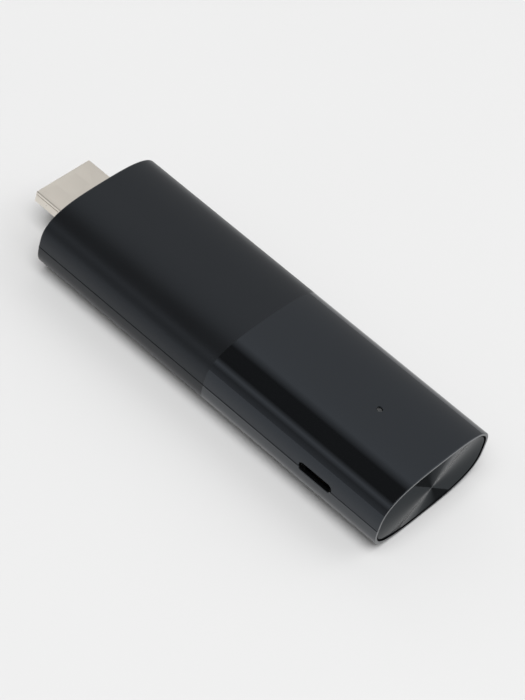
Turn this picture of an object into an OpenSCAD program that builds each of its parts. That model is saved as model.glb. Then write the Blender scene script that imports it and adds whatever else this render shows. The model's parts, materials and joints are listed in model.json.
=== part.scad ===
// Streaming media player stick: a two-part moulded body with a video plug at one end,
// a power socket in one side and a recessed decorative cap at the other end.
// +X runs towards the end cap, +Z is up, and the power socket is on the -Y side.
// The origin is at the middle of the bounding box's bottom face.

/* [Body] */
// Length of the body without the plug
body_l = 83.4; // [82:0.1:88]
// Width of the body
body_w = 30.2; // [30:0.1:32]
// Height of the body
body_h = 15.2; // [15:0.1:16.4]
// Squareness of the cross-section: 2 is an ellipse, more is boxier
section_power = 3.03; // [2.9:0.01:3.4]
// Height of curve cut away to leave the flat on the top and bottom
flat_cut = 0.06; // [0.03:0.01:0.1]
// Wall thickness of the two covers
wall = 1.0; // [0.9:0.05:1.1]
// Radius of the rounded edge round the plug end
plug_end_round = 0.45; // [0.3:0.05:0.6]
// Radius of the rounded edge round the rim at the cap end
rim_round = 0.15; // [0.1:0.05:0.25]
// Width of the seam that shows between the two covers
seam = 0.1; // [0.05:0.01:0.15]

/* [End cap] */
// How far the cap sits inside the rim of the body
cap_recess = 0.15; // [0.1:0.05:0.4]
// Thickness of the cap
cap_t = 1.0; // [0.8:0.1:1.3]
// Gap between the cap's edge and the rim
cap_gap = 0.35; // [0.3:0.01:0.4]
// Thickness of the lip that stands round the cap
rim_lip = 0.6; // [0.5:0.05:0.7]

/* [Video plug] */
// Length of the plug outside the body
plug_l = 9.0; // [8.5:0.1:11]
// Width of the plug's metal shell
plug_w = 13.9; // [13.8:0.05:14]
// Height of the plug's metal shell
plug_h = 4.45; // [4.4:0.05:4.5]
// Width and height of the sloping lower corners
plug_corner = 2.0; // [1.8:0.1:2.1]
// Thickness of the shell's sheet metal
plug_t = 0.35; // [0.3:0.05:0.4]

/* [Power socket] */
// Distance from the end cap's rim to the middle of the socket
socket_from_rim = 14.8; // [14.4:0.1:15.2]
// Height of the socket's middle above the bottom
socket_z = 7.7; // [7.6:0.05:7.8]
// Width of the slot in the covers
slot_w = 7.6; // [7.4:0.1:7.8]
// Height of the slot in the covers
slot_h = 1.9; // [1.9:0.05:2.1]

/* [Circuit board] */
// Thickness of the board
board_t = 1.0; // [0.8:0.1:1]
// Half of the board's width
board_y = 12.9; // [12.5:0.1:12.9]

/* [Hidden] */
$fn = 48;
SECTION_POINTS = 96;  // corners of the section's outline
FILLET_STEPS = 4;     // facets across each rounded end edge
PAST = 1;             // how far a cutting shape reaches past what it cuts
MERGE = 0.2;          // how far a rib or lip reaches into the wall that carries it
FIT = 0.02;           // clearance between pieces that sit close together

body_x1 = (body_l + plug_l) / 2;
body_x0 = body_x1 - body_l;
plug_x0 = body_x0 - plug_l;
half_w = body_w / 2;
mid_z = body_h / 2;

seam_z = mid_z - 0.2;
end_wall = 1.4;
inner_x0 = body_x0 + end_wall;

cap_x1 = body_x1 - cap_recess;
cap_x0 = cap_x1 - cap_t;
glue_t = 0.2;
ledge_t = 0.8;
mouth_x0 = cap_x0 - glue_t / 2;  // the walls thin to the lip from here to the rim
ledge_x1 = cap_x0 - glue_t;
ledge_inset = wall + 1.4;

board_z1 = seam_z;
board_z0 = board_z1 - board_t;
board_x0 = body_x0 + 6.2;
board_x1 = ledge_x1 - ledge_t - 2.2;

plug_z = board_z1 - board_t / 2;
plug_back = board_x0 + 1.6;
blade_t = 0.2;
blade_gap = board_t;
slot_half = blade_gap / 2 + blade_t;

socket_x = body_x1 - socket_from_rim;
socket_w = 7.5;
socket_h = 2.45;
socket_t = 0.3;
socket_depth = 5.0;
socket_y0 = -(half_w - wall - 0.15);
socket_y1 = socket_y0 + socket_depth;
pin_t = 0.12;

hole_r = 0.55;        // light hole in the top cover
boss_r = 2.4;         // boss round the light pipe
boss_bore_r = 1.4;
boss_bore_top = body_h - wall - 0.1;
pipe_foot_r = 1.3;
pipe_recess = 0.3;

lip_y0 = board_y + 0.3;
lip_y1 = half_w - wall - 0.1;
lip_top = seam_z + 1.1;
snap_x = [-30, -12, 8, 22];
snap_half = 1.5;      // half length of a snap bead along X
snap_depth = 0.35;    // how far a bead stands out of the lip
snap_play = 0.1;
rib_x = [-24, -3, 11.5, 40];
rib_half = 0.6;
rib_y = 11.2;         // ribs hold the board's edge from here outwards
pad_rib_half = 0.5;
peg_x = -19;
peg_half = 0.5;
peg_y = board_y - 0.8;
peg_play = 0.15;

shield_t = 0.2;
cpu_can = [[-20, -10.4], [10, 10.4]];
radio_can = [[13, -7.4], [26.5, 7.4]];
can_h = 1.7;
chip_h = 1.2;
memory_h = 1.1;

spreader_t = 1.0;
upper_spreader_z = board_z1 + 4.2;
lower_spreader_z = board_z0 - 4.0;

// ---- Helpers ----

// A box between two opposite corners.
module block(low, high) {
    translate(low) cube(high - low);
}

// A YZ outline drawn out along X.
module along_x(x0, x1) {
    translate([x0, 0, 0]) rotate([90, 0, 90]) linear_extrude(x1 - x0) children();
}

// An XZ outline drawn out along Y.
module along_y(y0, y1) {
    translate([0, y1, 0]) rotate([90, 0, 0]) linear_extrude(y1 - y0) children();
}

// The same thing on both sides of the XZ plane.
module both_sides() {
    children();
    mirror([0, 1, 0]) children();
}

// A chip or small part on the board: its middle, size and the side it is soldered to.
module on_board(middle, size, top = true) {
    z = top ? board_z1 : board_z0 - size[2];
    translate([middle[0] - size[0] / 2, middle[1] - size[1] / 2, z]) cube(size);
}

// ---- Body section ----

function power_curve(c) = sign(c) * pow(abs(c), 2 / section_power);

function clamp(v, limit) = max(-limit, min(limit, v));

// One point of the rounded-rectangle section, as [y, z], moved in by inset.
function section_point(a, inset) =
    let (z = (mid_z + flat_cut - inset) * power_curve(sin(a)))
    [(half_w - inset) * power_curve(cos(a)), mid_z + clamp(z, mid_z - inset)];

function section_outline(inset) =
    [for (i = [0 : SECTION_POINTS - 1]) section_point(360 * i / SECTION_POINTS, inset)];

module section(inset) {
    polygon(section_outline(inset));
}

// One station of the body's outer skin, as [x, inset]: step 0 is full size, the last is the end face.
// The radius is negative at the +X end.
function skin_station(x_end, radius, step) =
    let (a = 90 * step / FILLET_STEPS)
    [x_end + radius * (1 - sin(a)), abs(radius) * (1 - cos(a))];

function skin_stations() = concat(
    [for (step = [FILLET_STEPS : -1 : 0]) skin_station(body_x0, plug_end_round, step)],
    [for (step = [0 : FILLET_STEPS]) skin_station(body_x1, -rim_round, step)]
);

// The solid outer form of the body, with rounded edges at both ends.
module outer_form() {
    n = SECTION_POINTS;
    stations = skin_stations();
    last = len(stations) - 1;
    points = [for (s = stations) each [for (p = section_outline(s[1])) [s[0], p[0], p[1]]]];
    sides = [
        for (k = [0 : last - 1])
            for (i = [0 : n - 1])
                let (j = (i + 1) % n)
                [k * n + i, (k + 1) * n + i, (k + 1) * n + j, k * n + j]
    ];
    first_end = [for (i = [0 : n - 1]) i];
    last_end = [for (i = [n - 1 : -1 : 0]) last * n + i];
    polyhedron(points, concat([first_end], sides, [last_end]), convexity = 4);
}

// The hollow inside the covers. Its mouth is wider, to take the end cap.
module inner_form() {
    along_x(inner_x0, body_x1 + PAST) section(wall);
    along_x(mouth_x0, body_x1 + PAST) section(rim_lip);
}

// Keeps ribs inside the covers while letting them merge into the walls.
module rib_limit() {
    along_x(inner_x0 - MERGE, cap_x0) section(wall - MERGE);
}

// A box outline of half sizes w and h with its two lower corners cut off by c.
module shell_corners(w, h, c) {
    polygon([[-w, h], [-w, c - h], [c - w, -h], [w - c, -h], [w, c - h], [w, h]]);
}

module plug_outline(grow) {
    w = plug_w / 2 + grow;
    h = plug_h / 2 + grow;
    c = plug_corner + grow * (2 - sqrt(2));
    translate([0, plug_z]) shell_corners(w, h, c);
}

// A slot with round ends, in XZ, at the power socket.
module slot_outline(w, h) {
    translate([socket_x, socket_z]) {
        square([w - h, h], center = true);
        for (side = [-1, 1]) translate([side * (w - h) / 2, 0]) circle(d = h);
    }
}

// What both covers leave open: the plug's hole and the power slot.
module port_openings() {
    along_x(body_x0 - PAST, inner_x0 + PAST) plug_outline(0.15);
    along_y(-half_w - PAST, -half_w + wall + 0.6) slot_outline(slot_w, slot_h);
}

// The ring behind the end cap that the cap is glued to.
module cap_ledge() {
    along_x(ledge_x1 - ledge_t, ledge_x1) difference() {
        section(wall - MERGE);
        section(ledge_inset);
    }
}

// ---- Covers ----

// A round post or bore in line with the status light.
module upright(r, z0, z1) {
    translate([socket_x, 0, z0]) cylinder(r = r, h = z1 - z0);
}

// A rib across the body that presses on a heat spreader.
module pad_rib(x, reach, z0, z1) {
    block([x - pad_rib_half, -reach, z0], [x + pad_rib_half, reach, z1]);
}

module cover_skin(z0, z1) {
    intersection() {
        union() {
            difference() {
                outer_form();
                inner_form();
            }
            cap_ledge();
        }
        block([body_x0 - PAST, -half_w - PAST, z0], [body_x1 + PAST, half_w + PAST, z1]);
    }
}

module top_cover() {
    color([0.16, 0.17, 0.18]) difference() {
        union() {
            cover_skin(seam_z + seam / 2, body_h + PAST);
            intersection() {
                rib_limit();
                union() {
                    for (x = rib_x) both_sides()
                        block([x - rib_half, rib_y, board_z1], [x + rib_half, board_y, body_h]);
                    for (x = [-16, -4, 8])
                        pad_rib(x, 9, upper_spreader_z + spreader_t, body_h);
                }
            }
            upright(boss_r, board_z1 + 4, body_h - wall / 2);
        }
        port_openings();
        upright(hole_r, board_z1, body_h + PAST);
        upright(boss_bore_r, board_z1 + 4 - PAST, boss_bore_top);
        for (x = snap_x) both_sides()
            block(
                [x - snap_half - 2 * snap_play, half_w - wall - MERGE, seam_z + 0.35 - snap_play],
                [x + snap_half + 2 * snap_play, half_w - wall + snap_depth, lip_top - 0.25 + snap_play]
            );
    }
}

module bottom_cover() {
    color([0.19, 0.20, 0.21]) difference() {
        union() {
            cover_skin(-PAST, seam_z - seam / 2);
            intersection() {
                rib_limit();
                union() {
                    for (x = rib_x) both_sides()
                        block([x - rib_half, rib_y, 0], [x + rib_half, half_w, board_z0]);
                    for (x = [-14, 0, 14])
                        pad_rib(x, 8, 0, lower_spreader_z);
                    both_sides() block([peg_x - peg_half, peg_y, 3], [peg_x + peg_half, half_w, board_z0]);
                }
            }
            both_sides() {
                block([peg_x - peg_half, peg_y, 4], [peg_x + peg_half, board_y - 0.1, board_z1 - 0.1]);
                lip_run(inner_x0 + 1, socket_x - 5);
            }
            lip_run(socket_x - 5.5, ledge_x1 - ledge_t);
            for (x = snap_x) both_sides()
                block(
                    [x - snap_half, lip_y1 - MERGE, seam_z + 0.35],
                    [x + snap_half, lip_y1 + snap_depth, lip_top - 0.25]
                );
        }
        port_openings();
    }
}

// The raised lip that reaches up inside the top cover and lines the two covers up.
module lip_run(x0, x1) {
    block([x0, lip_y0, seam_z - 2], [x1, half_w - wall + MERGE, seam_z - seam / 2]);
    block([x0, lip_y0, seam_z - 2], [x1, lip_y1, lip_top]);
}

// ---- End cap ----

module end_cap() {
    color([0.22, 0.23, 0.25]) along_x(cap_x0, cap_x1) section(rim_lip + cap_gap);
}

module end_cap_adhesive() {
    color([0.85, 0.85, 0.8]) along_x(ledge_x1, cap_x0) difference() {
        section(wall + 0.3);
        section(ledge_inset - 0.1);
    }
}

// ---- Video plug ----

// A long shallow latch dimple in the top face of the plug.
module latch_dimple(y) {
    depth = 0.12;
    run = 2.8;
    width = 0.9;
    translate([plug_x0 + 1.4, y - width / 2, plug_z + plug_h / 2 - depth]) linear_extrude(PAST) {
        square([run, width]);
        for (x = [0, run]) translate([x, width / 2]) circle(d = width);
    }
}

module hdmi_plug_shell() {
    color([0.75, 0.72, 0.66]) {
        difference() {
            along_x(plug_x0, plug_back) plug_outline(0);
            along_x(plug_x0 - PAST, plug_back + PAST) plug_outline(-plug_t);
            for (y = [-2.5, 2.5]) latch_dimple(y);
            block(
                [board_x0 - 0.1, -plug_w, board_z0 - FIT],
                [plug_back + PAST, plug_w, board_z1 + FIT]
            );
        }
    }
}

module hdmi_plug_insulator() {
    front = plug_x0 + 0.7;
    back = board_x0 - 0.5;
    core = back - 2.5;
    slot_y = 5.6;
    color([0.09, 0.09, 0.1]) {
        difference() {
            along_x(front, back) plug_outline(-plug_t - FIT);
            block([front - PAST, -slot_y, plug_z - slot_half], [back + PAST, slot_y, plug_z + slot_half]);
        }
        block([core, -slot_y - 0.1, plug_z - blade_gap / 2], [back, slot_y + 0.1, plug_z + blade_gap / 2]);
    }
}

// Nineteen blades in two rows, ten above and nine below, half a pitch apart.
module hdmi_plug_contacts() {
    pitch = 1.0;
    blade_w = 0.45;
    x0 = plug_x0 + 1.5;
    x1 = board_x0 + 1.5;
    color([0.83, 0.68, 0.32]) {
        for (i = [0 : 9]) {
            y = (i - 4.5) * pitch;
            block([x0, y - blade_w / 2, plug_z + blade_gap / 2], [x1, y + blade_w / 2, plug_z + slot_half]);
        }
        for (i = [0 : 8]) {
            y = (i - 4) * pitch;
            block([x0, y - blade_w / 2, plug_z - slot_half], [x1, y + blade_w / 2, plug_z - blade_gap / 2]);
        }
    }
}

// ---- Power socket ----

module socket_outline(grow) {
    w = socket_w / 2 + grow;
    h = socket_h / 2 + grow;
    c = 0.8;
    translate([socket_x, socket_z]) shell_corners(w, h, c);
}

module usb_socket_shell() {
    color([0.7, 0.7, 0.7]) {
        difference() {
            along_y(socket_y0, socket_y1) socket_outline(0);
            along_y(socket_y0 - PAST, socket_y1 - socket_t) socket_outline(-socket_t);
            block(
                [socket_x - 2, socket_y1 - PAST, board_z1 - 0.1],
                [socket_x + 2, socket_y1 + PAST, board_z1 + 0.35]
            );
        }
        for (side = [-1, 1], y = [socket_y0 + 1.4, socket_y1 - 1.4])
            translate([socket_x + side * (socket_w / 2 + 0.4), y, board_z1 + 0.1])
                cube([0.9, 0.8, 0.2], center = true);
    }
}

module usb_socket_tongue() {
    half = 1.85;
    back = socket_y1 - socket_t - 0.05;
    color([0.1, 0.1, 0.1]) {
        block(
            [socket_x - half, socket_y0 + 0.9, board_z1 + pin_t],
            [socket_x + half, back, board_z1 + pin_t + 0.5]
        );
        difference() {
            along_y(back - 0.95, back) socket_outline(-socket_t - FIT);
            block(
                [socket_x - half - 0.05, socket_y1 - 2, board_z1 - FIT],
                [socket_x + half + 0.05, socket_y1, board_z1 + pin_t]
            );
        }
    }
}

module usb_socket_contacts() {
    pitch = 0.65;
    width = 0.3;
    color([0.83, 0.68, 0.32]) for (i = [-2 : 2])
        translate([socket_x + i * pitch - width / 2, socket_y0 + 1.1, board_z1])
            cube([width, socket_depth - 0.3, pin_t]);
}

// ---- Circuit board ----

module circuit_board() {
    color([0.05, 0.25, 0.16]) difference() {
        block([board_x0, -board_y, board_z0], [board_x1, board_y, board_z1]);
        block(
            [socket_x - socket_w / 2 - 0.2, -board_y - PAST, 0],
            [socket_x + socket_w / 2 + 0.2, socket_y1 + 0.15, body_h]
        );
        both_sides() block(
            [peg_x - peg_half - peg_play, peg_y - peg_play, 0],
            [peg_x + peg_half + peg_play, board_y + PAST, body_h]
        );
    }
}

module main_processor() {
    color([0.12, 0.12, 0.13]) on_board([-11, 0], [14, 14, chip_h]);
}

module memory_chips() {
    color([0.1, 0.1, 0.11]) for (y = [-5.3, 5.3]) on_board([3.2, y], [11, 8.5, memory_h]);
}

module storage_chip() {
    color([0.1, 0.1, 0.11]) on_board([-6, 0], [13, 11.5, memory_h], top = false);
}

module wireless_chip() {
    color([0.13, 0.13, 0.14]) on_board([19.5, 0], [8, 8, 0.9]);
}

// A soldered fence round a group of chips.
module shield_frame(corners) {
    sheet = [shield_t, shield_t];
    translate([0, 0, board_z1]) linear_extrude(can_h) difference() {
        translate(corners[0]) square(corners[1] - corners[0]);
        translate(corners[0] + sheet) square(corners[1] - corners[0] - 2 * sheet);
    }
}

// The lid that clips over a shield frame, with a skirt and a row of vent holes.
module shield_lid(corners) {
    reach = shield_t + 0.05;
    skirt = 1;
    vent_d = 0.9;
    vent_pitch = 3;
    vent_edge = 1.6;
    low = corners[0] - [reach, reach];
    high = corners[1] + [reach, reach];
    top_z = board_z1 + can_h;
    difference() {
        block([low[0], low[1], top_z - skirt], [high[0], high[1], top_z + shield_t]);
        block(
            [low[0] + shield_t, low[1] + shield_t, top_z - skirt - PAST],
            [high[0] - shield_t, high[1] - shield_t, top_z]
        );
        for (x = [low[0] + vent_edge + 0.9 : vent_pitch : high[0] - vent_edge])
            for (y = [low[1] + vent_edge, high[1] - vent_edge])
                translate([x, y, top_z - PAST]) cylinder(d = vent_d, h = 2 * PAST);
    }
}

module processor_shield_frame() {
    color([0.72, 0.73, 0.74]) shield_frame(cpu_can);
}

module processor_shield_lid() {
    color([0.78, 0.79, 0.8]) shield_lid(cpu_can);
}

module wireless_shield_frame() {
    color([0.72, 0.73, 0.74]) shield_frame(radio_can);
}

module wireless_shield_lid() {
    color([0.78, 0.79, 0.8]) shield_lid(radio_can);
}

// ---- Cooling ----

module upper_thermal_pads() {
    lid_top = board_z1 + can_h + shield_t;
    color([0.45, 0.6, 0.75]) {
        block([-17, -6, board_z1 + chip_h], [-5, 6, board_z1 + can_h]);
        block([-18, -7.5, lid_top], [6, 7.5, upper_spreader_z]);
    }
}

module upper_heat_spreader() {
    color([0.8, 0.81, 0.82])
        block([-21, -10, upper_spreader_z], [11, 10, upper_spreader_z + spreader_t]);
}

module lower_thermal_pad() {
    color([0.45, 0.6, 0.75])
        block([-12, -5.5, lower_spreader_z + spreader_t], [0, 5.5, board_z0 - memory_h]);
}

module lower_heat_spreader() {
    color([0.8, 0.81, 0.82])
        block([-20, -9.5, lower_spreader_z], [18, 9.5, lower_spreader_z + spreader_t]);
}

// ---- Radio and indicator ----

// A stamped strip antenna that stands on two feet.
module antenna() {
    strip_z = board_z1 + 2.4;
    strip_w = 2.8;
    foot_w = 1.2;
    metal = 0.3;
    x0 = board_x1 - 3.6;
    x1 = x0 + strip_w;
    y0 = 3;
    y1 = 10.8;
    block([x0, y0, strip_z], [x1, y1, strip_z + metal]);
    block([x0, y0, board_z1], [x0 + foot_w, y0 + metal, strip_z + metal]);
    block([x1 - foot_w, y0, board_z1], [x1, y0 + metal, strip_z + metal]);
    block([x0, y1 - metal, board_z1 + 1.2], [x1, y1, strip_z + metal]);
}

module left_antenna() {
    color([0.85, 0.8, 0.6]) antenna();
}

module right_antenna() {
    color([0.85, 0.8, 0.6]) mirror([0, 1, 0]) antenna();
}

module status_led() {
    color([0.95, 0.95, 0.85]) on_board([socket_x, 0], [1.6, 0.8, 0.6]);
}

// The clear post that carries the light up to the hole in the top cover.
module light_pipe() {
    foot_z = board_z1 + 0.9;
    color([0.9, 0.92, 0.95, 0.6]) {
        upright(pipe_foot_r, foot_z, boss_bore_top - 0.05);
        upright(hole_r - 0.04, foot_z, body_h - pipe_recess);
    }
}

// ---- Small parts on the board ----

module power_inductors() {
    color([0.25, 0.25, 0.26]) for (y = [-6, 0, 6]) on_board([-25, y], [4, 4, 1.8], top = false);
}

module power_converters() {
    color([0.1, 0.1, 0.11]) for (y = [-6, 0, 6]) on_board([-20.3, y], [3, 3, 0.9], top = false);
}

module surge_protectors() {
    color([0.1, 0.1, 0.11]) for (y = [-4.2, 0, 4.2]) on_board([-27, y], [1.2, 2.6, 0.6]);
}

module clock_crystals() {
    color([0.8, 0.8, 0.8]) {
        on_board([-1, 0], [2.5, 1.6, 0.7]);
        on_board([22.5, -5.8], [2.5, 1.6, 0.7]);
    }
}

// Rows of chip parts, as [first middle, step along X, count, on the top side].
function small_rows() = [
    [[-24.5, -9.4], 2.0, 2, true],
    [[-24.5, 9.4], 2.0, 2, true],
    [[-10, -8.6], 2.2, 4, true],
    [[-10, 8.6], 2.2, 4, true],
    [[2, -8.6], 2.4, 6, false],
    [[2, 8.6], 2.4, 6, false],
    [[15, 5.8], 2.2, 3, true],
    [[22, 0], 2.6, 5, false]
];

// Draws every chip part whose number is even, or every odd one.
module small_parts(size, parity) {
    for (row = small_rows())
        for (i = [parity : 2 : row[2] - 1])
            on_board(row[0] + [i * row[1], 0], size, top = row[3]);
}

module capacitors() {
    color([0.65, 0.52, 0.38]) small_parts([1.0, 1.6, 0.8], 0);
}

module resistors() {
    color([0.15, 0.15, 0.16]) small_parts([1.0, 1.6, 0.45], 1);
}

// ---- Output ----

top_cover();
bottom_cover();
end_cap();
end_cap_adhesive();
hdmi_plug_shell();
hdmi_plug_insulator();
hdmi_plug_contacts();
usb_socket_shell();
usb_socket_tongue();
usb_socket_contacts();
circuit_board();
main_processor();
memory_chips();
storage_chip();
processor_shield_frame();
processor_shield_lid();
wireless_chip();
wireless_shield_frame();
wireless_shield_lid();
upper_thermal_pads();
upper_heat_spreader();
lower_thermal_pad();
lower_heat_spreader();
left_antenna();
right_antenna();
status_led();
light_pipe();
power_inductors();
power_converters();
surge_protectors();
clock_crystals();
capacitors();
resistors();
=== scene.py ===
"""Looks of the streaming media player: fine meshes, materials, studio and camera.

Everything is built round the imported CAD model, in its frame. Lengths are in millimetres, except
for lights and materials, and meshes are scaled to metres when they are made.
"""

import json
import math

import bmesh
import bpy
import numpy as np
from mathutils import Matrix, Vector


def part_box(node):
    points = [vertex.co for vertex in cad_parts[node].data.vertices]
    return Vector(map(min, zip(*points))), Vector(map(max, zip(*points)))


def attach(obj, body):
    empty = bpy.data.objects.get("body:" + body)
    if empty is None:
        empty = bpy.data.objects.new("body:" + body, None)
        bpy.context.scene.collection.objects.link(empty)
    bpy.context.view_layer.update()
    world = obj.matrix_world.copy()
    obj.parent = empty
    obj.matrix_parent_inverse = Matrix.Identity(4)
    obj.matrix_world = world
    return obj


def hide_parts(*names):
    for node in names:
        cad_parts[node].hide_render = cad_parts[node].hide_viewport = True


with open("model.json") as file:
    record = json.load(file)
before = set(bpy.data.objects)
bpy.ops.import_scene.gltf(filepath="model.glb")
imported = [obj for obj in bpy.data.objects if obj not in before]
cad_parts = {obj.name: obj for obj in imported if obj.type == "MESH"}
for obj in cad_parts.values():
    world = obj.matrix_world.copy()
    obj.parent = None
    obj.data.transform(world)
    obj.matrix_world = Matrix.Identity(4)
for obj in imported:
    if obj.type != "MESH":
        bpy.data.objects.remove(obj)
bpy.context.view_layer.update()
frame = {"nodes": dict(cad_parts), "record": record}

MM = 0.001


def box_mm(node):
    """A CAD node's lowest and highest corners, in millimetres."""
    low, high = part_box(node)
    return low / MM, high / MM


# ---- Sizes ----
# Boxes come from the frame. The other sizes repeat part.scad, or are fine detail for looks.

TOP_LOW, TOP_HIGH = box_mm("top_cover")
CAP_LOW, CAP_HIGH = box_mm("end_cap")
PLUG_LOW, PLUG_HIGH = box_mm("hdmi_plug_shell")
SOCKET_LOW, SOCKET_HIGH = box_mm("usb_socket_shell")
PIPE_LOW, PIPE_HIGH = box_mm("light_pipe")
BOARD_LOW, BOARD_HIGH = box_mm("circuit_board")

BODY_X0 = TOP_LOW.x
BODY_X1 = TOP_HIGH.x
HALF_W = TOP_HIGH.y
TOP_Z = TOP_HIGH.z
MID_Z = TOP_Z / 2
SEAM_DROP = 0.2  # the seam is this far below half height
SEAM_Z = MID_Z - SEAM_DROP
SEAM_GAP = 0.1
SEAM_GROOVE_DEPTH = 0.13
WALL = 1.0
END_WALL = 1.4
SECTION_POWER = 3.03  # of the superellipse that the body's section follows
PLUG_END_ROUND = 0.45
RIM_ROUND = 0.15
RIM_LIP = 0.6  # the walls thin to this lip round the end cap
MOUTH_DEPTH = 1.25
CAP_GAP = 0.35
RING_PITCH = 0.12  # turned rings on the end cap's face
RING_SLOPE = math.radians(43)
FINISH_X = 4.6  # where the matte finish of the plug half meets the polished cap half

PLUG_Z = (PLUG_LOW.z + PLUG_HIGH.z) / 2
PLUG_SLOPE = 2.0
PLUG_SHEET = 0.35
PLUG_ROUND = 0.2
PLUG_HOLE_GAP = 0.12  # between the plug and its hole in the covers
PLUG_HOLE_ROUND = 0.5
DIMPLE_DEPTH = 0.05  # latch dimples in the top of the plug
DIMPLE_FROM, DIMPLE_TO = 0.95, 4.65  # from the plug's tip
DIMPLE_WIDTH = 0.9
DIMPLE_PLACES = (-2.5, 2.5)  # in Y
FOLD_DROP = 0.65  # fold line on the plug's side, from its top
FOLD_HALF = 0.07
FOLD_DEPTH = 0.22
SOCKET_X = (SOCKET_LOW.x + SOCKET_HIGH.x) / 2
SOCKET_Z = (SOCKET_LOW.z + SOCKET_HIGH.z) / 2
SLOT_W = 7.6
SLOT_H = 1.9
LIGHT_X = (PIPE_LOW.x + PIPE_HIGH.x) / 2
LIGHT_HOLE_RADIUS = 0.55

OVERCUT = 1.0  # how far a cutter reaches past what it cuts
SKIN_TOLERANCE = 0.01  # a corner this near the exact outer skin gets its exact normal,
SKIN_AGREEMENT = 0.9  # if the cosine between its face and that normal is above this
TINY = 1e-9  # keeps a length from being zero


# ---- Camera ----

CAMERA_AZIMUTH = math.radians(29.58)
CAMERA_ELEVATION = math.radians(46.83)
CAMERA_ROLL = math.radians(17.197)
CAMERA_DISTANCE = 496.9
CAMERA_TARGET = Vector((5.7, -0.45, 7.6))
CAMERA_LENS = 142.43
CAMERA_SENSOR = 36
CAMERA_NEAR = 0.01  # metres


def add_object(name, data):
    """A new object in the scene."""
    thing = bpy.data.objects.new(name, data)
    bpy.context.scene.collection.objects.link(thing)
    return thing


def view_axes(azimuth, elevation):
    """Right, up and back vectors of a level camera that looks at the target."""
    back = Vector((
        math.sin(azimuth) * math.cos(elevation),
        -math.cos(azimuth) * math.cos(elevation),
        math.sin(elevation),
    ))
    right = Vector((math.cos(azimuth), math.sin(azimuth), 0))
    return right, back.cross(right), back


def make_camera():
    """The camera at the photograph's viewing angle."""
    right, up, back = view_axes(CAMERA_AZIMUTH, CAMERA_ELEVATION)
    roll = Matrix.Rotation(CAMERA_ROLL, 3, back)
    right = roll @ right
    up = roll @ up
    data = bpy.data.cameras.new("camera")
    data.lens = CAMERA_LENS
    data.sensor_width = CAMERA_SENSOR
    data.clip_start = CAMERA_NEAR
    camera = add_object("camera", data)
    turn = Matrix((right, up, back)).transposed().to_4x4()
    camera.matrix_world = Matrix.Translation((CAMERA_TARGET + back * CAMERA_DISTANCE) * MM) @ turn
    bpy.context.scene.camera = camera


# ---- Mesh helpers ----


def make_piece(name, points, faces, materials=()):
    """A mesh object from points in millimetres."""
    mesh = bpy.data.meshes.new(name)
    mesh.from_pydata([tuple(p) for p in points], [], [tuple(f) for f in faces])
    mesh.validate()
    piece = add_object(name, mesh)
    for material in materials:
        mesh.materials.append(material)
    return piece


def loft(rings, closed=False):
    """Points and faces that join equal rings in order, with end faces unless the loft is closed."""
    count = len(rings[0])
    points = [p for ring in rings for p in ring]
    faces = []
    spans = len(rings) if closed else len(rings) - 1
    for k in range(spans):
        a = k * count
        b = ((k + 1) % len(rings)) * count
        for i in range(count):
            j = (i + 1) % count
            faces.append((a + i, b + i, b + j, a + j))
    if not closed:
        faces.append(tuple(range(count)))
        faces.append(tuple(reversed(range((len(rings) - 1) * count, len(rings) * count))))
    return points, faces


def outward(piece):
    """Turns every face so that it points out of the piece."""
    mesh = bmesh.new()
    mesh.from_mesh(piece.data)
    bmesh.ops.recalc_face_normals(mesh, faces=mesh.faces)
    mesh.to_mesh(piece.data)
    mesh.free()


def solid(rings, name="cutter", closed=False):
    """A form lofted through rings, with every face turned outwards."""
    piece = make_piece(name, *loft(rings, closed))
    outward(piece)
    return piece


def combine(piece, other, operation):
    """Applies one exact boolean to piece and removes the other object."""
    modifier = piece.modifiers.new("boolean", "BOOLEAN")
    modifier.operation = operation
    modifier.solver = "EXACT"
    modifier.object = other
    depsgraph = bpy.context.evaluated_depsgraph_get()
    result = bpy.data.meshes.new_from_object(piece.evaluated_get(depsgraph))
    piece.modifiers.clear()
    piece.data = result
    bpy.data.objects.remove(other)


def to_metres(piece):
    """Scales a piece's mesh from millimetres to metres."""
    piece.data.transform(Matrix.Scale(MM, 4))


def coat(piece, *materials):
    """Gives a piece these materials in place of the ones it has."""
    piece.data.materials.clear()
    for material in materials:
        piece.data.materials.append(material)


def shade(piece, angle=30):
    """Smooth shading, with sharp edges where faces meet at more than the angle."""
    piece.data.shade_smooth()
    piece.data.set_sharp_from_angle(angle=math.radians(angle))


def block(low, high):
    """A box cutter between two corners."""
    x0, y0, z0 = low
    x1, y1, z1 = high
    return solid([[(x, y0, z0), (x, y1, z0), (x, y1, z1), (x, y0, z1)] for x in (x0, x1)])


# ---- The body's section ----


def section_point(tilt, inset):
    """(y, z) where the section's outward normal is tilted by that angle from +Z towards -Y."""
    half_w = HALF_W - inset
    half_h = MID_Z - inset
    tangent = abs(math.tan(tilt))
    ratio = (tangent * half_w / half_h) ** (1 / (SECTION_POWER - 1))
    height = (1 + ratio**SECTION_POWER) ** (-1 / SECTION_POWER)
    y = -math.copysign(ratio * height * half_w, math.sin(tilt))
    z = math.copysign(height * half_h, math.cos(tilt))
    return y, MID_Z + z


def section_ring(x, inset, count=288):
    """The section's outline at x, moved inwards by inset."""
    tilts = [2 * math.pi * (i + 0.5) / count for i in range(count)]
    return [(x, *section_point(tilt, inset)) for tilt in tilts]


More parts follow.
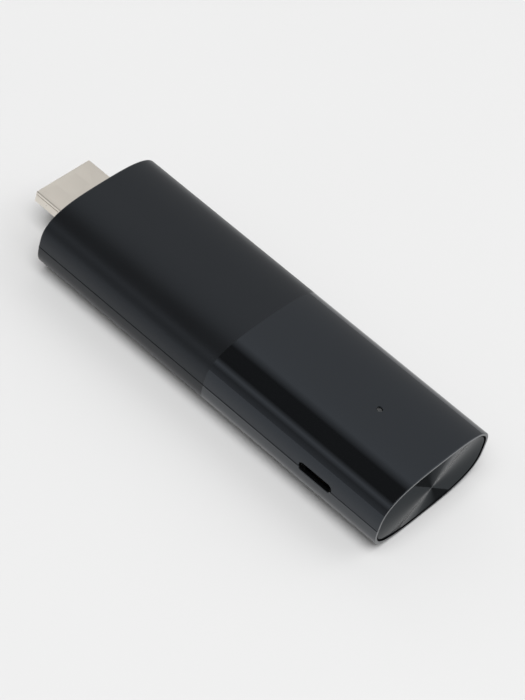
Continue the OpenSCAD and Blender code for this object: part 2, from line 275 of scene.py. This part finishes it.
def section_normals(positions):
    """Outward normals of the body's outer skin, and how far each position is from that skin."""
    x, y, z = positions.T
    normal_x = np.zeros_like(x)
    inset = np.zeros_like(x)
    for x_end, side, radius in ((BODY_X0, -1, PLUG_END_ROUND), (BODY_X1, 1, RIM_ROUND)):
        depth = np.clip(1 - np.abs(x_end - x) / radius, 0, 1)
        sine = np.where(np.abs(x_end - x) < radius, depth, 0)
        normal_x += side * sine
        inset += radius * (1 - np.sqrt(1 - sine**2))
    half_w = HALF_W - inset
    half_h = MID_Z - inset
    v = y / half_w
    w = (z - MID_Z) / half_h
    level = (np.abs(v) ** SECTION_POWER + np.abs(w) ** SECTION_POWER) ** (1 / SECTION_POWER)
    away = np.abs(level - 1) * half_h
    gradient_y = np.sign(v) * np.abs(v) ** (SECTION_POWER - 1) / half_w
    gradient_z = np.sign(w) * np.abs(w) ** (SECTION_POWER - 1) / half_h
    length = np.maximum(np.hypot(gradient_y, gradient_z), TINY)
    flat = np.sqrt(1 - normal_x**2)
    normals = np.stack([normal_x, flat * gradient_y / length, flat * gradient_z / length], -1)
    return normals, away


def body_form():
    """The solid outer form of the body, with rounded edges at both ends."""
    steps = 8
    rings = []
    for k in range(steps + 1):
        angle = math.pi / 2 * (1 - k / steps)
        inset = PLUG_END_ROUND * (1 - math.cos(angle))
        rings.append(section_ring(BODY_X0 + PLUG_END_ROUND * (1 - math.sin(angle)), inset))
    rings.append(section_ring(FINISH_X, 0))
    for k in range(steps + 1):
        angle = math.pi / 2 * k / steps
        inset = RIM_ROUND * (1 - math.cos(angle))
        rings.append(section_ring(BODY_X1 - RIM_ROUND * (1 - math.sin(angle)), inset))
    return solid(rings, "body_form")


def hollow_form():
    """The space inside the covers, with a wider mouth for the end cap."""
    mouth = BODY_X1 - MOUTH_DEPTH
    rings = [
        section_ring(BODY_X0 + END_WALL, WALL),
        section_ring(mouth, WALL),
        section_ring(mouth, RIM_LIP),
        section_ring(BODY_X1 + OVERCUT, RIM_LIP),
    ]
    return solid(rings, "hollow_form")


def smooth_skin(piece):
    """Gives the outer skin its exact normals; other faces are smoothed by angle."""
    mesh = piece.data
    shade(piece)
    corners = len(mesh.loops)
    normals = np.zeros(corners * 3, np.float32)
    mesh.corner_normals.foreach_get("vector", normals)
    normals = normals.reshape(-1, 3)
    vertex_of = np.zeros(corners, np.int32)
    mesh.loops.foreach_get("vertex_index", vertex_of)
    positions = np.zeros(len(mesh.vertices) * 3, np.float32)
    mesh.vertices.foreach_get("co", positions)
    positions = positions.reshape(-1, 3)[vertex_of].astype(float)
    skin, away = section_normals(positions)
    starts = np.zeros(len(mesh.polygons), np.int32)
    mesh.polygons.foreach_get("loop_start", starts)
    totals = np.zeros(len(mesh.polygons), np.int32)
    mesh.polygons.foreach_get("loop_total", totals)
    face_of = np.repeat(np.arange(len(totals)), totals)
    face_normals = np.zeros(len(totals) * 3, np.float32)
    mesh.polygons.foreach_get("normal", face_normals)
    face_normals = face_normals.reshape(-1, 3)
    agree = np.sum(face_normals[face_of] * skin, -1)
    on_skin = (away < SKIN_TOLERANCE) & (agree > SKIN_AGREEMENT)
    normals[on_skin] = skin[on_skin]
    mesh.normals_split_custom_set([tuple(n) for n in normals])


def round_slot(x, across, length, width, count=24):
    """Points of a slot with round ends, long in X, as (x, across) pairs."""
    radius = width / 2
    points = []
    for side in (1, -1):
        for i in range(count + 1):
            angle = math.pi * (i / count - 0.5)
            points.append((
                x + side * (length / 2 - radius + radius * math.cos(angle)),
                across + side * radius * math.sin(angle),
            ))
    return points


def slot_cutter():
    """Cuts the power socket's slot, with a slight flare at its mouth."""
    flare = 0.12
    outside = 0.01  # the flare ends this far outside the skin
    widening = 0.9  # of the cutter beyond that
    rings = []
    for y, grow in (
        (-HALF_W - OVERCUT, flare + widening),
        (-HALF_W - outside, flare),
        (-HALF_W + flare, 0),
        (-HALF_W + WALL + OVERCUT, 0),
    ):
        outline = round_slot(SOCKET_X, SOCKET_Z, SLOT_W + 2 * grow, SLOT_H + 2 * grow)
        rings.append([(px, y, pz) for px, pz in outline])
    return solid(rings)


def light_hole_cutter():
    """Cuts the status light's round hole, with a slight flare at its mouth."""
    flare = 0.1
    depth = 2.5
    count = 48
    rings = []
    for z, grow in ((TOP_Z - depth, 0), (TOP_Z - flare, 0), (TOP_Z + flare, 2 * flare)):
        radius = LIGHT_HOLE_RADIUS + grow
        rings.append([
            (LIGHT_X + radius * math.cos(a), radius * math.sin(a), z)
            for a in np.linspace(0, 2 * math.pi, count, endpoint=False)
        ])
    return solid(rings)


def shell_corners(width, height, slope, grow=0.0):
    """A box outline whose two lower corners slope, moved outwards by grow."""
    w = width / 2 + grow
    h = height / 2 + grow
    c = slope + grow * (2 - math.sqrt(2))
    return [(-w, h), (-w, c - h), (c - w, -h), (w - c, -h), (w, c - h), (w, h)]


def plug_outline(grow, rounding):
    """The plug's section as (y, z) points about its middle."""
    corners = shell_corners(PLUG_HIGH.y - PLUG_LOW.y, PLUG_HIGH.z - PLUG_LOW.z, PLUG_SLOPE, grow)
    return round_corners(corners, rounding)


def round_corners(corners, radius, steps=6):
    """Replaces each corner of a convex outline by an arc."""
    points = []
    count = len(corners)
    for i in range(count):
        before = Vector(corners[i - 1])
        here = Vector(corners[i])
        after = Vector(corners[(i + 1) % count])
        to_before = (before - here).normalized()
        to_after = (after - here).normalized()
        half = to_before.angle(to_after) / 2
        reach = radius / math.tan(half)
        centre = here + (to_before + to_after).normalized() * radius / math.sin(half)
        start = here + to_before * reach - centre
        turn = start.angle_signed(here + to_after * reach - centre)
        for k in range(steps + 1):
            angle = -turn * k / steps
            c, s = math.cos(angle), math.sin(angle)
            points.append((centre.x + c * start.x - s * start.y, centre.y + s * start.x + c * start.y))
    return points


def prism_x(outline, x0, x1, z_offset=0.0):
    """An outline of (y, z) points drawn out along X."""
    return solid([[(x, y, z + z_offset) for y, z in outline] for x in (x0, x1)])


def seam_groove(side):
    """A fine V groove along the seam, on one side of the body."""
    outside = 0.3  # the cutter starts this far outside the skin,
    half = 0.45  # where it is this high each way
    skin = side * HALF_W
    mouth = skin + side * outside
    bottom = skin - side * SEAM_GROOVE_DEPTH
    outline = [(mouth, SEAM_Z - half), (bottom, SEAM_Z), (mouth, SEAM_Z + half)]
    return prism_x(outline, BODY_X0 - OVERCUT, BODY_X1 + OVERCUT)


def make_cover(name, z0, z1, materials, with_light_hole):
    """One of the two body shells, between two heights."""
    piece = body_form()
    piece.name = name
    combine(piece, hollow_form(), "DIFFERENCE")
    margin = 2 * OVERCUT
    low = (BODY_X0 - margin, -HALF_W - margin, z0)
    high = (BODY_X1 + margin, HALF_W + margin, z1)
    combine(piece, block(low, high), "INTERSECT")
    outline = plug_outline(PLUG_HOLE_GAP, PLUG_HOLE_ROUND)
    hole = prism_x(outline, BODY_X0 - OVERCUT, BODY_X0 + END_WALL + OVERCUT, PLUG_Z)
    combine(piece, hole, "DIFFERENCE")
    combine(piece, slot_cutter(), "DIFFERENCE")
    for side in (-1, 1):
        combine(piece, seam_groove(side), "DIFFERENCE")
    if with_light_hole:
        combine(piece, light_hole_cutter(), "DIFFERENCE")
    coat(piece, *materials)
    for face in piece.data.polygons:
        face.material_index = 0 if face.center.x < FINISH_X else 1
    smooth_skin(piece)
    to_metres(piece)
    return piece


# ---- Materials ----


PATCHES = 60  # broad variation in plastic, in features per metre
PLATE_PATCHES = 120  # the same in metal
HAZE_PATCHES = 700  # the same in clear plastic
GLOSS_CHANGE = 0.06  # share by which a plastic's roughness varies each way
BRUSH_LOW, BRUSH_HIGH = 0.8, 1.25  # shares between which a metal's roughness varies
BRUSH_STRENGTH = 0.2
BRUSH_DEPTH = 0.000002  # metres
HAZE_LOW, HAZE_HIGH = 0.8, 1.2
CLOUD_SHADE = 0.9
CLEAR_SHARE = 0.9  # of light let through by clear plastic
CLEAR_IOR = 1.49


class Surface:
    """A Principled material and small helpers to wire procedural detail into it."""

    def __init__(self, name):
        self.material = bpy.data.materials.new(name)
        self.material.use_nodes = True
        self.tree = self.material.node_tree
        self.shader = self.tree.nodes["Principled BSDF"]
        self.coords = self.tree.nodes.new("ShaderNodeTexCoord")

    def node(self, kind, **settings):
        """A node with its sockets or its own properties set."""
        node = self.tree.nodes.new(kind)
        for key, value in settings.items():
            if key in node.inputs:
                node.inputs[key].default_value = value
            else:
                setattr(node, key, value)
        return node

    def link(self, source, target):
        """Wires one socket to another."""
        self.tree.links.new(source, target)

    def noise(self, scale, detail=3.0, roughness=0.5, stretch=(1, 1, 1)):
        """Noise in object space; scale is in features per metre."""
        mapping = self.node("ShaderNodeMapping")
        mapping.inputs["Scale"].default_value = stretch
        self.link(self.coords.outputs["Object"], mapping.inputs["Vector"])
        noise = self.node("ShaderNodeTexNoise", Scale=scale, Detail=detail, Roughness=roughness)
        self.link(mapping.outputs["Vector"], noise.inputs["Vector"])
        return noise.outputs["Fac"]

    def spread(self, source, low, high):
        """Maps 0 to 1 onto low to high."""
        node = self.node("ShaderNodeMapRange")
        node.inputs["To Min"].default_value = low
        node.inputs["To Max"].default_value = high
        self.link(source, node.inputs["Value"])
        return node.outputs["Result"]

    def mix(self, factor, first, second):
        """A colour between two, by a factor from 0 to 1."""
        node = self.node("ShaderNodeMix", data_type="RGBA")
        node.inputs["A"].default_value = (*first, 1)
        node.inputs["B"].default_value = (*second, 1)
        self.link(factor, node.inputs["Factor"])
        return next(o for o in node.outputs if o.type == "RGBA")

    def bump(self, height, strength, distance):
        """Fine relief from a height; distance is its depth in metres."""
        node = self.node("ShaderNodeBump", Strength=strength, Distance=distance)
        self.link(height, node.inputs["Height"])
        self.link(node.outputs["Normal"], self.shader.inputs["Normal"])


def plastic(name, dark, light, roughness, grain_scale=0, grain_depth=0, ior=1.5, tint=(1, 1, 1)):
    """Moulded plastic: fine grain, slight colour and gloss variation."""
    surface = Surface(name)
    shader = surface.shader
    broad = surface.noise(PATCHES, detail=4)
    surface.link(surface.mix(broad, dark, light), shader.inputs["Base Color"])
    spread = roughness * GLOSS_CHANGE
    surface.link(surface.spread(broad, roughness - spread, roughness + spread), shader.inputs["Roughness"])
    shader.inputs["IOR"].default_value = ior
    shader.inputs["Specular Tint"].default_value = (*tint, 1)
    if grain_depth:
        surface.bump(surface.noise(grain_scale, detail=2), strength=1.0, distance=grain_depth)
    return surface.material


def metal(name, dark, light, roughness, brush_scale, stretch):
    """Plated sheet metal with fine drawn lines."""
    surface = Surface(name)
    shader = surface.shader
    shader.inputs["Metallic"].default_value = 1
    broad = surface.noise(PLATE_PATCHES, detail=4)
    lines = surface.noise(brush_scale, detail=3, stretch=stretch)
    surface.link(surface.mix(broad, dark, light), shader.inputs["Base Color"])
    gloss = surface.spread(lines, roughness * BRUSH_LOW, roughness * BRUSH_HIGH)
    surface.link(gloss, shader.inputs["Roughness"])
    surface.bump(lines, BRUSH_STRENGTH, BRUSH_DEPTH)
    return surface.material


def clear_plastic(name, colour, haze):
    """Clear plastic with slightly uneven haze."""
    surface = Surface(name)
    shader = surface.shader
    cloud = surface.noise(HAZE_PATCHES, detail=3)
    shaded = tuple(c * CLOUD_SHADE for c in colour)
    surface.link(surface.mix(cloud, colour, shaded), shader.inputs["Base Color"])
    surface.link(surface.spread(cloud, haze * HAZE_LOW, haze * HAZE_HIGH), shader.inputs["Roughness"])
    shader.inputs["Transmission Weight"].default_value = CLEAR_SHARE
    shader.inputs["IOR"].default_value = CLEAR_IOR
    return surface.material


# Tints and indices of refraction were set by measured brightness, to suit the photo.
COVER_TINT = (0.76, 0.86, 1.0)
LOWER_TINT = (0.86, 0.92, 1.0)
RING_TINT = (0.84, 0.93, 1.0)
MATTE = ((0.0042, 0.0044, 0.0048), (0.0062, 0.0065, 0.007))  # darker and lighter patches
GLOSS = ((0.0026, 0.0028, 0.003), (0.0034, 0.0036, 0.0039))
MATTE_GRAIN = (9000, 0.000004)  # features per metre, depth in metres

matte_black = plastic("matte_black", *MATTE, 0.35, *MATTE_GRAIN, ior=1.43, tint=COVER_TINT)
gloss_black = plastic("gloss_black", *GLOSS, 0.045, ior=1.55, tint=COVER_TINT)
matte_lower = plastic("matte_lower", *MATTE, 0.34, *MATTE_GRAIN, ior=1.45, tint=LOWER_TINT)
gloss_lower = plastic("gloss_lower", *GLOSS, 0.08, ior=1.78, tint=LOWER_TINT)
ringed_black = plastic("ringed_black", *GLOSS, 0.055, ior=1.52, tint=RING_TINT)

ALONG_X = (0.05, 1, 1)  # stretch of drawn lines
ALONG_Y = (1, 0.05, 1)
CHIP = ((0.012, 0.012, 0.013), (0.02, 0.02, 0.021))
INSULATOR = ((0.012, 0.012, 0.013), (0.02, 0.02, 0.022))

CAD_LOOKS = {
    # The looks of the CAD nodes that stay in view, by material slot. Every row has the maker and the
    # material's name. A plastic then has its darker and lighter colours, roughness, grain in features
    # per metre and grain depth in metres. A metal has its colours, roughness, drawn lines per metre
    # and their stretch. Clear plastic has a colour and its haze.
    "adhesive": (plastic, "adhesive", (0.66, 0.64, 0.58), (0.74, 0.72, 0.66), 0.6, 5000, 0.00001),
    "insulator_plastic": (plastic, "insulator", *INSULATOR, 0.5, 8000, 0.000004),
    "contact_gold": (metal, "gold", (0.72, 0.50, 0.18), (0.80, 0.58, 0.24), 0.25, 900, ALONG_Y),
    "socket_steel": (metal, "socket_steel", (0.10, 0.10, 0.10), (0.15, 0.15, 0.15), 0.35, 900, ALONG_Y),
    "board_laminate": (plastic, "board", (0.006, 0.05, 0.028), (0.012, 0.075, 0.042), 0.3, 2500, 0.000006),
    "chip_resin": (plastic, "chip", *CHIP, 0.45, 7000, 0.000004),
    "shield_tin": (metal, "tin", (0.58, 0.59, 0.60), (0.68, 0.69, 0.70), 0.32, 700, ALONG_X),
    "thermal_pad": (plastic, "thermal_pad", (0.12, 0.26, 0.42), (0.18, 0.33, 0.50), 0.75, 3000, 0.00001),
    "spreader_aluminium": (metal, "aluminium", (0.62, 0.63, 0.64), (0.72, 0.73, 0.74), 0.3, 600, ALONG_X),
    "antenna_bronze": (metal, "bronze", (0.52, 0.38, 0.20), (0.62, 0.47, 0.27), 0.3, 900, ALONG_Y),
    "led_lens": (plastic, "led", (0.72, 0.70, 0.50), (0.80, 0.78, 0.58), 0.2, 4000, 0.000002),
    "clear_acrylic": (clear_plastic, "acrylic", (0.30, 0.31, 0.32), 0.15),
    "ferrite": (plastic, "ferrite", (0.03, 0.03, 0.032), (0.05, 0.05, 0.053), 0.6, 5000, 0.000008),
    "capacitor_ceramic": (plastic, "capacitor", (0.33, 0.22, 0.12), (0.42, 0.30, 0.18), 0.45, 4000, 0.000004),
    "resistor_ceramic": (
        plastic, "resistor", (0.015, 0.015, 0.016), (0.026, 0.026, 0.028), 0.4, 4000, 0.000004,
    ),
}


def coat_cad_nodes(stood_for):
    """Gives every CAD node that stays in view the look of its slot."""
    looks = {}
    for part in frame["record"]["subparts"]:
        slot = part["material_slot"]
        if part["node"] in stood_for:
            continue
        if slot not in looks:
            maker, *values = CAD_LOOKS[slot]
            looks[slot] = maker(*values)
        coat(frame["nodes"][part["node"]], looks[slot])


# ---- Studio ----


FLOOR_COLOURS = ((0.58, 0.58, 0.58), (0.60, 0.60, 0.60))  # darker and lighter patches
FLOOR_PATCHES = 9  # features per metre
FLOOR_ROUGHNESS = 0.9
FLOOR_SHINE = 0.1
FLOOR_HALF = 3000


def make_floor():
    """A plain pale matt floor."""
    surface = Surface("floor")
    grain = surface.noise(FLOOR_PATCHES, detail=2)
    surface.link(surface.mix(grain, *FLOOR_COLOURS), surface.shader.inputs["Base Color"])
    surface.shader.inputs["Roughness"].default_value = FLOOR_ROUGHNESS
    surface.shader.inputs["Specular IOR Level"].default_value = FLOOR_SHINE
    corners = [(x * FLOOR_HALF, y * FLOOR_HALF, 0) for x, y in ((-1, -1), (1, -1), (1, 1), (-1, 1))]
    floor = make_piece("floor", corners, [(0, 1, 2, 3)], [surface.material])
    to_metres(floor)


# A plain studio at infinity: a pale wall behind, a dark gap overhead and a broad light in front,
# and a darker side beyond the cap end. The stops were chosen to suit the photo.
ROOM_BANDS = [
    # degrees from straight up towards -Y, radiance
    (-90, 0.50), (-40, 0.70), (-22, 0.84), (-10, 0.08), (25, 0.08), (42, 0.84), (60, 0.30), (90, 0.50),
]
EAST_BANDS = [
    # beyond the cap end: share of the horizontal direction that is +Y, radiance
    (-1, 0.30), (0, 0.20), (0.3, 0.60), (1, 0.85),
]
EAST_EDGE = 0.12  # half width of the change to that side, in X
BACKDROP = 0.862  # the even tone that the camera sees behind the floor


def ramp_node(tree, bands, source):
    """A colour ramp through (place, level) pairs, for a value that runs from the first to the last."""
    low = bands[0][0]
    high = bands[-1][0]
    place = tree.nodes.new("ShaderNodeMapRange")
    place.inputs["From Min"].default_value = low
    place.inputs["From Max"].default_value = high
    tree.links.new(source, place.inputs["Value"])
    ramp = tree.nodes.new("ShaderNodeValToRGB")
    stops = ramp.color_ramp.elements
    for index, (spot, level) in enumerate(bands):
        share = (spot - low) / (high - low)
        if index < 2:
            stop = stops[index]
            stop.position = share
        else:
            stop = stops.new(share)
        stop.color = (level, level, level, 1)
    tree.links.new(place.outputs["Result"], ramp.inputs["Fac"])
    return ramp.outputs["Color"]


def maths(tree, operation, first, second=None):
    """A Math node on sockets or numbers."""
    node = tree.nodes.new("ShaderNodeMath")
    node.operation = operation
    for socket, value in zip(node.inputs, (first, second)):
        if isinstance(value, (int, float)):
            socket.default_value = value
        elif value is not None:
            tree.links.new(value, socket)
    return node.outputs[0]


def blend_colours(tree, factor, first, second):
    """A colour between two sockets or grey levels."""
    node = tree.nodes.new("ShaderNodeMix")
    node.data_type = "RGBA"
    tree.links.new(factor, node.inputs["Factor"])
    for socket, value in zip([i for i in node.inputs if i.type == "RGBA"], (first, second)):
        if isinstance(value, (int, float)):
            socket.default_value = (value, value, value, 1)
        else:
            tree.links.new(value, socket)
    return next(o for o in node.outputs if o.type == "RGBA")


def smooth_step(tree, source, low, high):
    """A soft step from 0 to 1 as source goes from low to high."""
    node = tree.nodes.new("ShaderNodeMapRange")
    node.interpolation_type = "SMOOTHSTEP"
    node.inputs["From Min"].default_value = low
    node.inputs["From Max"].default_value = high
    tree.links.new(source, node.inputs["Value"])
    return node.outputs["Result"]


def make_world():
    """The plain studio that lights every piece and the floor; the camera sees an even backdrop."""
    world = bpy.data.worlds.new("studio")
    world.use_nodes = True
    tree = world.node_tree
    coords = tree.nodes.new("ShaderNodeTexCoord")
    parts = tree.nodes.new("ShaderNodeSeparateXYZ")
    tree.links.new(coords.outputs["Generated"], parts.inputs["Vector"])
    x, y, z = parts.outputs
    lean = maths(tree, "ARCTAN2", maths(tree, "MULTIPLY", y, -1), z)
    bands = ramp_node(tree, ROOM_BANDS, maths(tree, "MULTIPLY", lean, 180 / math.pi))
    squares = [maths(tree, "MULTIPLY", part, part) for part in (x, y)]
    flat = maths(tree, "SQRT", maths(tree, "ADD", *squares))
    beyond = ramp_node(tree, EAST_BANDS, maths(tree, "DIVIDE", y, flat))
    sky = blend_colours(tree, smooth_step(tree, x, -EAST_EDGE, EAST_EDGE), bands, beyond)
    path = tree.nodes.new("ShaderNodeLightPath")
    seen = blend_colours(tree, path.outputs["Is Camera Ray"], sky, BACKDROP)
    tree.links.new(seen, tree.nodes["Background"].inputs["Color"])
    bpy.context.scene.world = world


def aim(light, direction, distance):
    """Places a light in a direction from the object, facing it; distance is in metres."""
    toward = Vector(direction).normalized()
    light.location = toward * distance
    light.rotation_euler = toward.to_track_quat("Z", "Y").to_euler()


def make_softbox(name, direction, distance, width, height, radiance):
    """A rectangular soft light facing the object; sizes in metres."""
    data = bpy.data.lights.new(name, "AREA")
    data.shape = "RECTANGLE"
    data.size = width
    data.size_y = height
    data.energy = radiance * width * height * math.pi
    light = add_object(name, data)
    aim(light, direction, distance)
    light.visible_camera = False


def make_sun(direction, strength, angle):
    """Broad, even light over the whole floor, kept out of reflections; its angle is in degrees."""
    data = bpy.data.lights.new("room_light", "SUN")
    data.energy = strength
    data.angle = math.radians(angle)
    light = add_object("room_light", data)
    aim(light, direction, 1)
    light.visible_glossy = False


# ---- Pieces ----


def circle_x(x, radius, count):
    """A ring of points round the X axis through the middle of the section."""
    step = 2 * math.pi / count
    return [(x, radius * math.cos(i * step), MID_Z + radius * math.sin(i * step)) for i in range(count)]


def turned_disc(x_back, x_front):
    """A disc whose +X face is cut into fine V rings."""
    count = 160
    radius = HALF_W - RIM_LIP
    depth = RING_PITCH / 2 * math.tan(RING_SLOPE)
    rings = [circle_x(x_back, radius, count)]
    for k in range(int(2 * radius / RING_PITCH)):
        rings.append(circle_x(x_front - depth * (k % 2), radius - k * RING_PITCH / 2, count))
    return solid(rings, "end_cap_plate")


def make_end_cap(material):
    """The plate that closes the cap end, with fine turned rings on its face."""
    piece = turned_disc(CAP_LOW.x, CAP_HIGH.x)
    inset = RIM_LIP + CAP_GAP
    outline = [section_ring(x, inset) for x in (CAP_LOW.x - OVERCUT, CAP_HIGH.x + OVERCUT)]
    combine(piece, solid(outline), "INTERSECT")
    coat(piece, material)
    shade(piece)
    to_metres(piece)
    return piece


def latch_dimple(y):
    """Cuts a long shallow dimple into the top of the plug, with sloping sides."""
    shrink = 0.2  # the outline at the bottom is this much smaller all round
    widening = 0.4  # and the cutter's top this much wider
    x0 = PLUG_LOW.x + DIMPLE_FROM
    x1 = PLUG_LOW.x + DIMPLE_TO
    top = PLUG_HIGH.z
    rings = []
    for z, grow in ((top - DIMPLE_DEPTH, -shrink), (top + DIMPLE_DEPTH, widening)):
        outline = round_slot((x0 + x1) / 2, y, x1 - x0 + 2 * grow, DIMPLE_WIDTH + 2 * grow)
        rings.append([(px, py, z) for px, py in outline])
    return solid(rings)


def fold_groove():
    """Cuts a fine straight groove along the side of the plug, where its folded sheet ends."""
    outside = 0.05
    z = PLUG_HIGH.z - FOLD_DROP
    low = (PLUG_LOW.x - OVERCUT, PLUG_LOW.y - outside, z - FOLD_HALF)
    high = (BODY_X0 + END_WALL, PLUG_LOW.y + FOLD_DEPTH, z + FOLD_HALF)
    return block(low, high)


def make_plug_shell(material):
    """The plug's folded sheet-metal shell, notched where the board sits."""
    edge = 0.1
    least_round = 0.05
    board_gap = 0.1
    front = PLUG_LOW.x
    back = PLUG_HIGH.x
    rings = []
    for x, grow in (
        (front, -edge),
        (front + edge, 0),
        (back, 0),
        (back, -PLUG_SHEET),
        (front + edge, -PLUG_SHEET),
        (front, -PLUG_SHEET + edge),
    ):
        outline = plug_outline(grow, max(PLUG_ROUND + grow, least_round))
        rings.append([(x, y, z + PLUG_Z) for y, z in outline])
    piece = solid(rings, "plug_shell", closed=True)
    for y in DIMPLE_PLACES:
        combine(piece, latch_dimple(y), "DIFFERENCE")
    combine(piece, fold_groove(), "DIFFERENCE")
    low = (BOARD_LOW.x - board_gap, -HALF_W, BOARD_LOW.z)
    high = (PLUG_HIGH.x + OVERCUT, HALF_W, BOARD_HIGH.z)
    combine(piece, block(low, high), "DIFFERENCE")
    coat(piece, material)
    shade(piece)
    to_metres(piece)
    return piece


def main():
    """Builds the studio and the pieces, ties each piece to its body, hides the CAD node it stands for and
    gives the other CAD nodes their looks.
    """
    make_camera()
    make_floor()
    make_world()
    make_softbox(
        "key_light", direction=(0.42, -0.33, 0.92), distance=1.15, width=1.0, height=0.22, radiance=2.6,
    )
    make_softbox(
        "side_light", direction=(0.50, 0.60, 0.63), distance=1.2, width=0.8, height=0.8, radiance=1.0,
    )
    make_sun(direction=(0.12, -0.38, 1.0), strength=2.85, angle=42)
    seam_top = SEAM_Z + SEAM_GAP / 2
    seam_bottom = SEAM_Z - SEAM_GAP / 2
    top = make_cover("top_shell", seam_top, TOP_Z + OVERCUT, [matte_black, gloss_black], True)
    bottom = make_cover("bottom_shell", -OVERCUT, seam_bottom, [matte_lower, gloss_lower], False)
    cap = make_end_cap(ringed_black)
    nickel = metal(
        "nickel", (0.75, 0.70, 0.63), (0.84, 0.79, 0.71), 0.3, brush_scale=800, stretch=(0.3, 1, 1),
    )
    plug = make_plug_shell(nickel)
    stood_for = []
    for piece, node, slot in (
        (top, "top_cover", "cover_plastic"),
        (bottom, "bottom_cover", "cover_plastic"),
        (cap, "end_cap", "end_cap_plastic"),
        (plug, "hdmi_plug_shell", "plug_nickel"),
    ):
        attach(piece, "root")
        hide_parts(node)
        stood_for.append(node)
    coat_cad_nodes(stood_for)
    bpy.context.scene.view_settings.view_transform = "Standard"


main()
